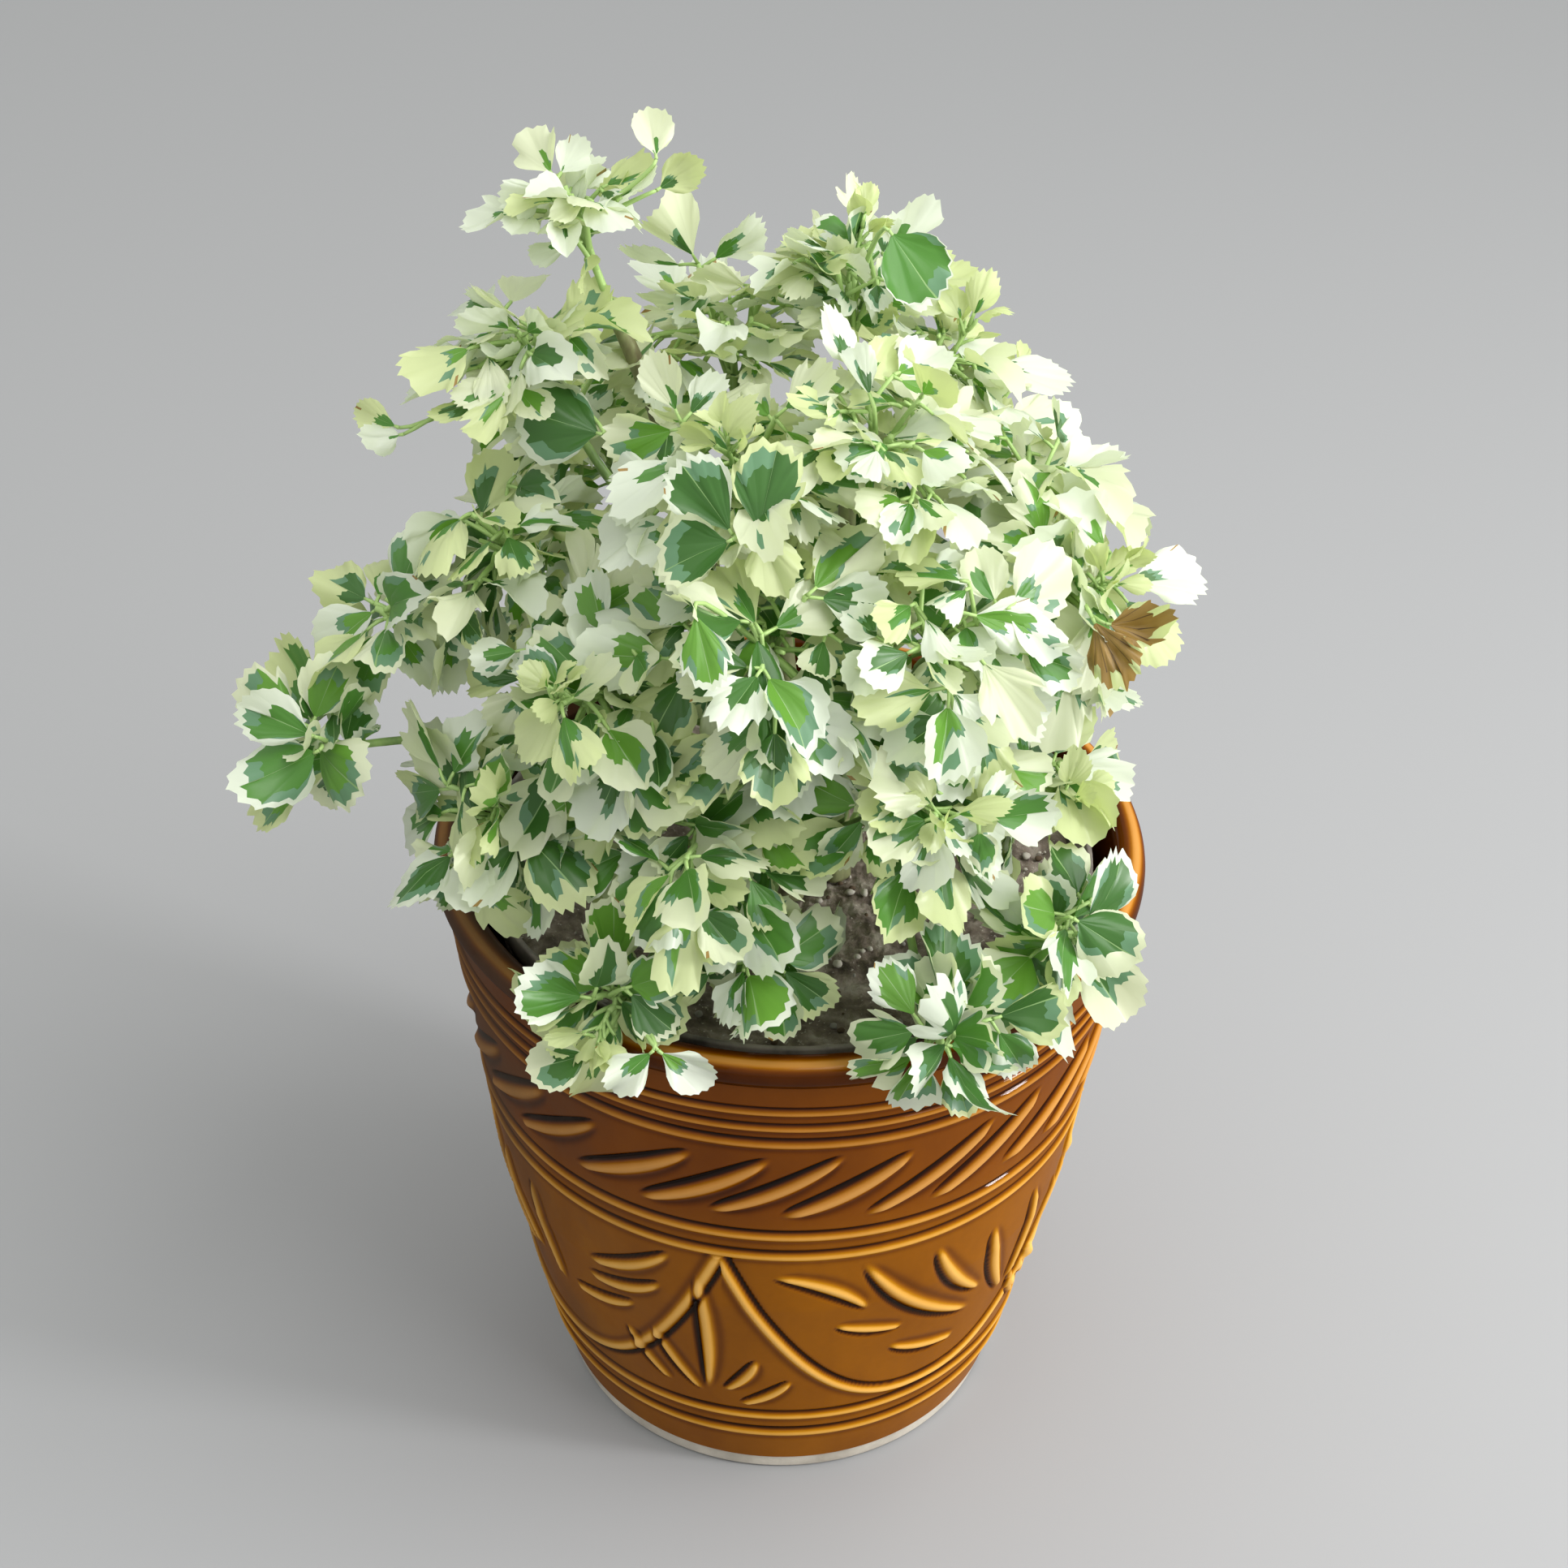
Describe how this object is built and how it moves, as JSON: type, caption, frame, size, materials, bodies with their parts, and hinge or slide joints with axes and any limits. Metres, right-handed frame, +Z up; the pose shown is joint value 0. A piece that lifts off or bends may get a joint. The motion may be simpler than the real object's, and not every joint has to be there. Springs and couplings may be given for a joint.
{
  "type": "potted variegated aralia plant",
  "caption": "Small variegated aralia shrub with cream and green fan-shaped leaflets, in an amber-glazed carved pot.",
  "frame": {"origin": "middle of the flat underside of the pot", "axes": "+Z up, -Y towards the side the picture shows"},
  "size_m": [0.202, 0.195, 0.3343],
  "materials": {
    "glazed_pot": "glossy amber-brown glaze, dark in the carving and pale on the ridges, with a bare clay foot",
    "nursery_plastic": "thin dark nursery pot with a dusty rim",
    "soil": "dry potting soil with pale grit",
    "bark": "thin green-brown bark",
    "green_bark": "smooth pale green petiole",
    "foliage": "satin leaf, cream margin round an uneven green middle"
  },
  "bodies": {
    "root": {"bough_back_left": "green_bark", "bough_back_low_left": "green_bark", "bough_back_low_right": "green_bark", "bough_back_middle": "green_bark", "bough_back_right": "green_bark", "bough_far_left": "green_bark", "bough_far_left_low": "green_bark", "bough_hanging_front": "green_bark", "bough_hanging_left": "green_bark", "bough_hanging_middle": "green_bark", "bough_hanging_right": "green_bark", "bough_high_front_right": "green_bark", "bough_high_right": "green_bark", "bough_low_front": "green_bark", "bough_low_front_right": "green_bark", "bough_low_left": "green_bark", "bough_low_right": "green_bark", "bough_middle_front": "green_bark", "bough_middle_front_left": "green_bark", "bough_middle_front_right": "green_bark", "bough_middle_left": "green_bark", "bough_middle_right": "green_bark", "bough_shoulder_left": "green_bark", "bough_shoulder_right": "green_bark", "foliage_back_left": "foliage", "foliage_back_low_left": "foliage", "foliage_back_low_right": "foliage", "foliage_back_middle": "foliage", "foliage_back_right": "foliage", "foliage_far_left": "foliage", "foliage_far_left_low": "foliage", "foliage_hanging_front": "foliage", "foliage_hanging_left": "foliage", "foliage_hanging_middle": "foliage", "foliage_hanging_right": "foliage", "foliage_high_front": "foliage", "foliage_high_front_right": "foliage", "foliage_high_right": "foliage", "foliage_low_front": "foliage", "foliage_low_front_right": "foliage", "foliage_low_left": "foliage", "foliage_low_right": "foliage", "foliage_middle_front": "foliage", "foliage_middle_front_left": "foliage", "foliage_middle_front_right": "foliage", "foliage_middle_left": "foliage", "foliage_middle_right": "foliage", "foliage_shoulder_left": "foliage", "foliage_shoulder_right": "foliage", "foliage_top_left": "foliage", "foliage_top_middle": "foliage", "foliage_top_right": "foliage", "nursery_pot": "nursery_plastic", "pot": "glazed_pot", "soil": "soil", "stem_back": "bark", "stem_centre": "bark", "stem_left": "bark", "stem_right": "bark"}
  },
  "joints": []
}
